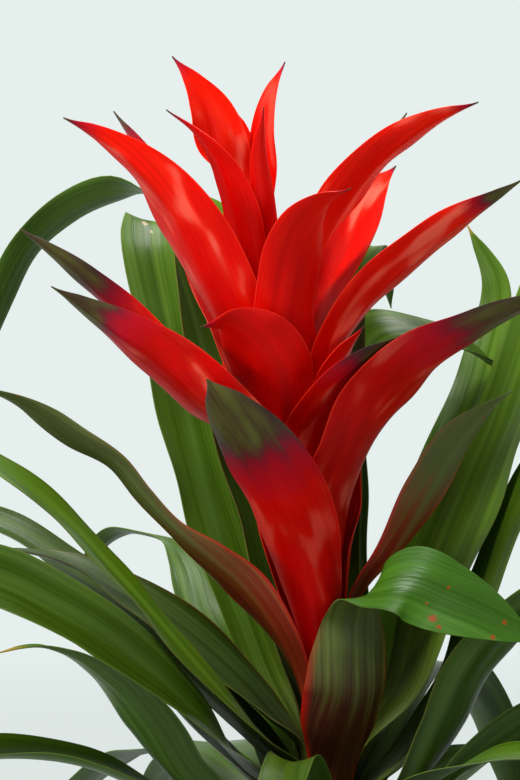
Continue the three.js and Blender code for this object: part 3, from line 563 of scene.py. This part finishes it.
class Graph:
    """A node graph that ends in a new material's Principled shader.

    Its inputs are other nodes' outputs, numbers, vectors, and colours, also when written as #rrggbb.
    """

    def __init__(self, name):
        self.material = bpy.data.materials.new(name)
        self.material.use_nodes = True
        self.tree = self.material.node_tree
        self.shader = self.tree.nodes["Principled BSDF"]

    def add(self, kind, inputs, **settings):
        """A new node with these settings and inputs."""
        node = self.tree.nodes.new(kind)
        for key, value in settings.items():
            setattr(node, key, value)
        for key, value in inputs.items():
            self.feed(node.inputs[key], value)
        return node

    def feed(self, socket, value):
        """Links another node's output to a socket, or sets the socket itself."""
        if isinstance(value, bpy.types.NodeSocket):
            self.tree.links.new(value, socket)
        else:
            socket.default_value = linear(value) if isinstance(value, str) else value

    def calc(self, operation, a, b=0.0):
        """One step of arithmetic."""
        return self.add("ShaderNodeMath", {0: a, 1: b}, operation=operation).outputs[0]

    def plus(self, a, b):
        """The sum of two numbers."""
        return self.calc("ADD", a, b)

    def times(self, a, b):
        """The product of two numbers."""
        return self.calc("MULTIPLY", a, b)

    def sway(self, value, amount, centre=0.5):
        """How far a number is above its centre, times an amount."""
        return self.times(self.calc("SUBTRACT", value, centre), amount)

    def reach(self, value, low, high):
        """0 at low, 1 at high, held at both ends."""
        return self.add("ShaderNodeMapRange", {0: value, 1: low, 2: high}, clamp=True).outputs[0]

    def mix(self, share, a, b):
        """Colour a where the share is 0, and b where it is 1."""
        return self.add("ShaderNodeMix", {0: share, 6: a, 7: b}, data_type="RGBA").outputs[2]

    def wash(self, colour, mask, amount, ink):
        """A colour with some ink laid over it where the mask is."""
        return self.mix(self.times(mask, amount), colour, ink)

    def vector(self, x, y, z):
        """A vector of three numbers."""
        return self.add("ShaderNodeCombineXYZ", {0: x, 1: y, 2: z}).outputs[0]

    def split(self, vector):
        """The three numbers of a vector."""
        return self.add("ShaderNodeSeparateXYZ", {0: vector}).outputs[:3]

    def where(self):
        """Where a point is on its own object, in metres."""
        return self.add("ShaderNodeTexCoord", {}).outputs["Object"]

    def bump(self, height, strength, distance):
        """The surface's direction with a fine relief on it."""
        return self.add("ShaderNodeBump", {"Height": height, "Strength": strength,
                                           "Distance": distance}).outputs[0]

    def finish(self, inputs):
        """The material, once these inputs of its shader are fed."""
        for key, value in inputs.items():
            self.feed(self.shader.inputs[key], value)
        return self.material


class BladeGraph(Graph):
    """The graph of a blade's material, with the numbers that blade_mesh wrote for every point.

    to_tip and off_rib are the distances to the tip and from the midrib. ripe grows from 0 to 1 where the
    tip's colour sets in. share is 0 at the foot and 1 at the tip, edge 0 at the midrib and 1 at the
    margins, and upper 1 on the upper face and 0 underneath.
    """

    def __init__(self, name):
        super().__init__(name)
        self.to_tip, self.off_rib, self.seed = self.attribute("place")
        self.ripe, self.tone, self.flush = self.attribute("tint")
        self.share, across, self.upper = self.attribute("blade")
        self.edge = self.calc("ABSOLUTE", across)

    def attribute(self, name):
        """The three numbers of a mesh attribute."""
        return self.split(self.add("ShaderNodeAttribute", {}, attribute_name=name).outputs["Vector"])

    def streaks(self, across, along, detail=3.0):
        """Noise drawn out along the blade, spread over 0 to 1: across and along are waves per mm."""
        at = self.vector(self.times(self.off_rib, across), self.times(self.to_tip, along), self.seed)
        texture = self.add("ShaderNodeTexNoise", {"Vector": at, "Scale": 1.0, "Detail": detail})
        return self.reach(texture.outputs["Fac"], NOISE_LOW, NOISE_HIGH)

    def marks(self, colour, marks, ink):
        """A colour with round spots of ink at given places on the blade.

        The noise is 0.5 on average, so that a spot fades from 0.6 to 1.2 radii out, here more, there less.
        """
        here = self.vector(self.to_tip, self.off_rib, 0.0)
        uneven = self.add("ShaderNodeTexNoise", {"Vector": here, "Scale": 0.9}).outputs["Fac"]
        for along, across, radius in marks:
            gap = self.add("ShaderNodeVectorMath", {0: here, 1: (along, across, 0)},
                           operation="DISTANCE").outputs["Value"]
            gap = self.plus(gap, self.times(uneven, 3 * radius))
            colour = self.mix(self.reach(gap, 2.7 * radius, 2.1 * radius), colour, ink)
        return colour


def bract_material():
    """Scarlet with fine parallel veins, through magenta and purple to olive brown at the tip."""
    g, ink = BladeGraph("bract"), BRACT_COLOURS
    veins = g.streaks(across=1.1, along=0.012)
    fine = g.streaks(across=3.0, along=0.03, detail=2.0)
    sheen_streaks = g.streaks(across=0.1, along=0.03, detail=1.5)
    blotch = g.streaks(across=0.12, along=0.04)
    mottle = g.streaks(across=0.18, along=0.04)

    # The red is brighter on bright bracts, in patches and further from the foot. Its shade and scarlet are
    # painted shade and painted light on the one red, set by the tone, which is partly how brightly a bract
    # is lit.
    light = g.plus(g.times(g.tone, 0.7), g.times(blotch, 0.25))
    light = g.plus(light, g.sway(g.share, 0.7, centre=0.55))
    red = g.mix(g.reach(light, -0.1, 0.5), ink["shade"], ink["red"])
    red = g.mix(g.reach(light, 0.5, 1.25), red, ink["scarlet"])
    red = g.wash(red, veins, 0.25, ink["vein"])
    red = g.wash(red, fine, 0.05, ink["thread"])
    red = g.wash(red, g.reach(g.edge, 0.96, 1.0), 0.25, ink["rim"])

    # Painted highlights: a broad satin sheen in streaks, and narrow pale glints in the middle of it.
    painted_sheen = g.times(g.reach(sheen_streaks, 0.5, 1.0), g.flush)
    painted_glint = g.times(g.reach(sheen_streaks, 0.75, 1.0), g.flush)
    red = g.wash(red, painted_sheen, 0.3, ink["painted_sheen"])
    red = g.wash(red, painted_glint, 0.32, ink["painted_glint"])

    # The stain of the tip comes in through magenta and purple, unevenly.
    olive = g.mix(mottle, *ink["olive"])
    olive = g.wash(olive, veins, 0.35, ink["olive_vein"])
    olive = g.wash(olive, g.reach(g.edge, 0.6, 1.0), 0.5, ink["olive_rim"])
    stain = g.plus(g.plus(g.ripe, g.sway(fine, 0.2)), g.sway(mottle, 0.35))
    colour = g.mix(g.reach(stain, -0.9, 0.1), red, ink["magenta"])
    colour = g.mix(g.reach(stain, 0.1, 0.75), colour, ink["purple"])
    colour = g.mix(g.reach(stain, 0.6, 1.1), colour, olive)
    return g.finish({"Base Color": colour,
                     "Roughness": g.plus(0.3, g.times(veins, 0.14)),
                     "Normal": g.bump(g.plus(fine, veins), strength=0.3, distance=0.00012),
                     "Specular IOR Level": 0.06})


def leaf_material(name, marks):
    """A fleshy strap leaf: streaked green above, paler and duller below, brown at its base."""
    g, ink = BladeGraph(name), LEAF_COLOURS
    stripe = g.streaks(across=0.3, along=0.003)
    veins = g.streaks(across=1.2, along=0.006)
    band = g.streaks(across=0.1, along=0.004, detail=1.0)

    # On each face, the tone runs from the green of dark leaves to that of bright ones. It is partly the
    # leaf's own green and partly painted light and shade, brighter where a leaf is lit.
    top = g.mix(g.tone, g.mix(stripe, *ink["dark_top"]), g.mix(stripe, *ink["bright_top"]))
    under = g.mix(g.tone, g.mix(stripe, *ink["dark_under"]), g.mix(stripe, *ink["bright_under"]))
    colour = g.mix(g.upper, under, top)
    # Broad bands of painted shade along the leaf, with a faint painted sheen between them.
    colour = g.wash(colour, band, 0.38, ink["shade"])
    colour = g.wash(colour, g.reach(band, 0.4, 0.0), 0.1, ink["sheen"])
    colour = g.wash(colour, veins, 0.25, ink["vein"])

    # Red and pale margins, the brown base and the yellow tip.
    colour = g.wash(colour, g.reach(g.edge, 0.9, 1.0), g.flush, ink["red_rim"])
    colour = g.wash(colour, g.reach(g.edge, 0.96, 1.0), 0.3, ink["pale_rim"])
    colour = g.wash(colour, g.reach(g.share, 0.3, 0.02), 0.7, g.mix(stripe, *ink["base"]))
    colour = g.mix(g.reach(g.ripe, 0.2, 1.0), colour, ink["tip"])
    return g.finish({"Base Color": g.marks(colour, marks, ink["dry"]),
                     "Roughness": g.plus(0.3, g.times(stripe, 0.12)),
                     "Normal": g.bump(g.plus(veins, stripe), strength=0.22, distance=0.0002),
                     "Specular IOR Level": 0.12})


def half_bract_material(name, marks):
    """Between leaf and bract: red brown at the base, red at the margins, green further out."""
    g, ink = BladeGraph(name), HALF_BRACT_COLOURS
    stripe = g.streaks(across=0.35, along=0.004)
    veins = g.streaks(across=1.6, along=0.008)
    ribs = g.streaks(across=0.9, along=0.003, detail=1.0)
    band = g.streaks(across=0.09, along=0.012, detail=1.0)

    base = g.mix(g.flush, g.mix(stripe, *ink["brown"]), g.mix(stripe, *ink["red"]))
    under = g.wash(g.mix(stripe, *ink["under"]), ribs, 0.2, ink["rib"])
    # The upper face: its tone is partly its own green and partly painted light, with bands of painted
    # shade.
    top = g.mix(g.tone, ink["dark_top"], g.mix(stripe, *ink["bright_top"]))
    top = g.wash(top, band, 0.6, ink["shade"])
    green = g.mix(g.upper, under, top)

    # The base gives way to the green in streaks, and the margins stay red a little further out.
    turned = g.plus(g.ripe, g.sway(stripe, 0.6))
    colour = g.mix(g.reach(turned, 0.0, 1.0), base, green)
    colour = g.wash(colour, veins, 0.25, ink["vein"])
    colour = g.wash(colour, g.reach(g.edge, 0.8, 1.0), g.reach(g.ripe, 1.6, 0.2), ink["rim"])
    return g.finish({"Base Color": g.marks(colour, marks, ink["rust"]),
                     "Roughness": g.plus(0.3, g.times(stripe, 0.1)),
                     "Normal": g.bump(g.plus(veins, ribs), strength=0.35, distance=0.0002),
                     "Specular IOR Level": 0.2})


def stem_material():
    """Green brown and fibrous outside, pale and pithy on the cut."""
    g = Graph("stem")
    x, y, z = g.split(g.where())
    drawn = g.vector(g.times(x, 20.0), g.times(y, 20.0), z)  # so that the fibres run upwards
    texture = g.add("ShaderNodeTexNoise", {"Vector": drawn, "Scale": 90.0})
    fibre = g.reach(texture.outputs["Fac"], 0.35, 0.65)
    bark, pith = g.mix(fibre, *STEM_COLOURS["bark"]), g.mix(fibre, *STEM_COLOURS["pith"])
    cut = g.reach(z, 0.0012, 0.0004)
    return g.finish({"Base Color": g.mix(cut, bark, pith),
                     "Roughness": 0.6,
                     "Normal": g.bump(fibre, strength=0.4, distance=0.0003)})


def place(name, mesh, material):
    """Puts a piece in the scene in the place of the CAD node of the same name."""
    mesh.materials.append(material)
    piece = bpy.data.objects.new(name + "_fine", mesh)
    bpy.context.scene.collection.objects.link(piece)
    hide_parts(name)
    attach(piece, "root")


def build_plant():
    """The stem, then every blade with its own seed. A leaf_bract or a marked leaf has its own material."""
    place("stem", stem_mesh(), stem_material())
    bract, leaf = bract_material(), leaf_material("leaf", [])
    blades = [(name, {**common, **spec, **LOOKS.get(name, LEAF_LOOK)})
              for common, table in ((BRACT, BRACTS), (LEAF, LEAVES), (LEAF, ARCHED))
              for name, spec in table.items()]
    for seed, (name, kind) in enumerate(blades, start=1):
        rows = sheath(kind) + (arch_rows(kind) if name in ARCHED else kind["via"])
        mesh = blade_mesh(name, rows, kind, seed)
        if name.startswith("leaf_bract"):
            place(name, mesh, half_bract_material(name, MARKS.get(name, [])))
        elif name in BRACTS:
            place(name, mesh, bract)
        elif name in MARKS:
            place(name, mesh, leaf_material(name, MARKS[name]))
        else:
            place(name, mesh, leaf)


def add_camera():
    """The camera that sees the plant as the photograph does."""
    data = bpy.data.cameras.new("camera")
    data.sensor_width = SENSOR
    data.lens = SENSOR * VIEW_DISTANCE / VIEW_HEIGHT
    data.clip_end = VIEW_REACH
    camera = bpy.data.objects.new("camera", data)
    rise = math.radians(VIEW_ELEVATION)
    back = Vector((0, -math.cos(rise), math.sin(rise)))
    camera.location = (Vector(VIEW_TARGET) + back * VIEW_DISTANCE) * MM
    camera.rotation_euler = (math.pi / 2 - rise, 0, 0)
    bpy.context.scene.collection.objects.link(camera)
    bpy.context.scene.camera = camera


def add_softbox(name, spot, size, power):
    """A square area light that faces the flower head."""
    data = bpy.data.lights.new(name, "AREA")
    data.shape = "SQUARE"
    data.size = size
    data.energy = power
    lamp = bpy.data.objects.new(name, data)
    lamp.location = spot
    aim = Vector(SOFTBOX_AIM) - Vector(spot)
    lamp.rotation_euler = aim.to_track_quat("-Z", "Y").to_euler()
    bpy.context.scene.collection.objects.link(lamp)


def add_floor():
    """A wide pale floor that runs into the lit backdrop some way from the plant."""
    turns = [2 * math.pi * k / FLOOR_SIDES for k in range(FLOOR_SIDES)]
    rim = [(FLOOR_RADIUS * math.cos(turn), FLOOR_RADIUS * math.sin(turn), 0) for turn in turns]
    mesh = bpy.data.meshes.new("floor")
    mesh.from_pydata(rim, [], [tuple(range(FLOOR_SIDES))])
    g = Graph("floor")
    away = g.add("ShaderNodeVectorMath", {0: g.where()}, operation="LENGTH").outputs["Value"]
    backdrop = g.reach(away, FLOOR_NEAR, FLOOR_FAR)
    material = g.finish({"Base Color": g.mix(backdrop, FLOOR, BLACK), "Emission Color": BACKDROP,
                         "Emission Strength": backdrop, "Roughness": 0.9, "Specular IOR Level": 0.0})
    # A glow this wide is met by stray rays often enough. Aiming rays at it too would leave dots.
    material.cycles.emission_sampling = "NONE"
    mesh.materials.append(material)
    floor = bpy.data.objects.new("floor", mesh)
    bpy.context.scene.collection.objects.link(floor)


def add_surroundings():
    """A lit backdrop behind the plant in a room that is dim in front and overhead."""
    world = bpy.data.worlds.new("surroundings")
    world.use_nodes = True
    nodes, links = world.node_tree.nodes, world.node_tree.links
    split = nodes.new("ShaderNodeSeparateXYZ")
    links.new(nodes.new("ShaderNodeTexCoord").outputs["Generated"], split.inputs["Vector"])
    behind, below = nodes.new("ShaderNodeMapRange"), nodes.new("ShaderNodeMapRange")
    for ramp, axis, fade in ((behind, "Y", BEHIND_FADE), (below, "Z", OVERHEAD_FADE)):
        ramp.interpolation_type = "SMOOTHSTEP"
        links.new(split.outputs[axis], ramp.inputs["Value"])
        for end, value in (("From Min", fade[0]), ("From Max", fade[1]), ("To Min", ROOM)):
            ramp.inputs[end].default_value = value
    links.new(behind.outputs["Result"], below.inputs["To Max"])
    background = nodes["Background"]
    background.inputs["Color"].default_value = BACKDROP
    links.new(below.outputs["Result"], background.inputs["Strength"])
    bpy.context.scene.world = world
    bpy.context.scene.view_settings.view_transform = "Standard"


add_camera()
add_surroundings()
add_floor()
for label, (spot, size, power) in SOFTBOXES.items():
    add_softbox(label, spot, size, power)
build_plant()
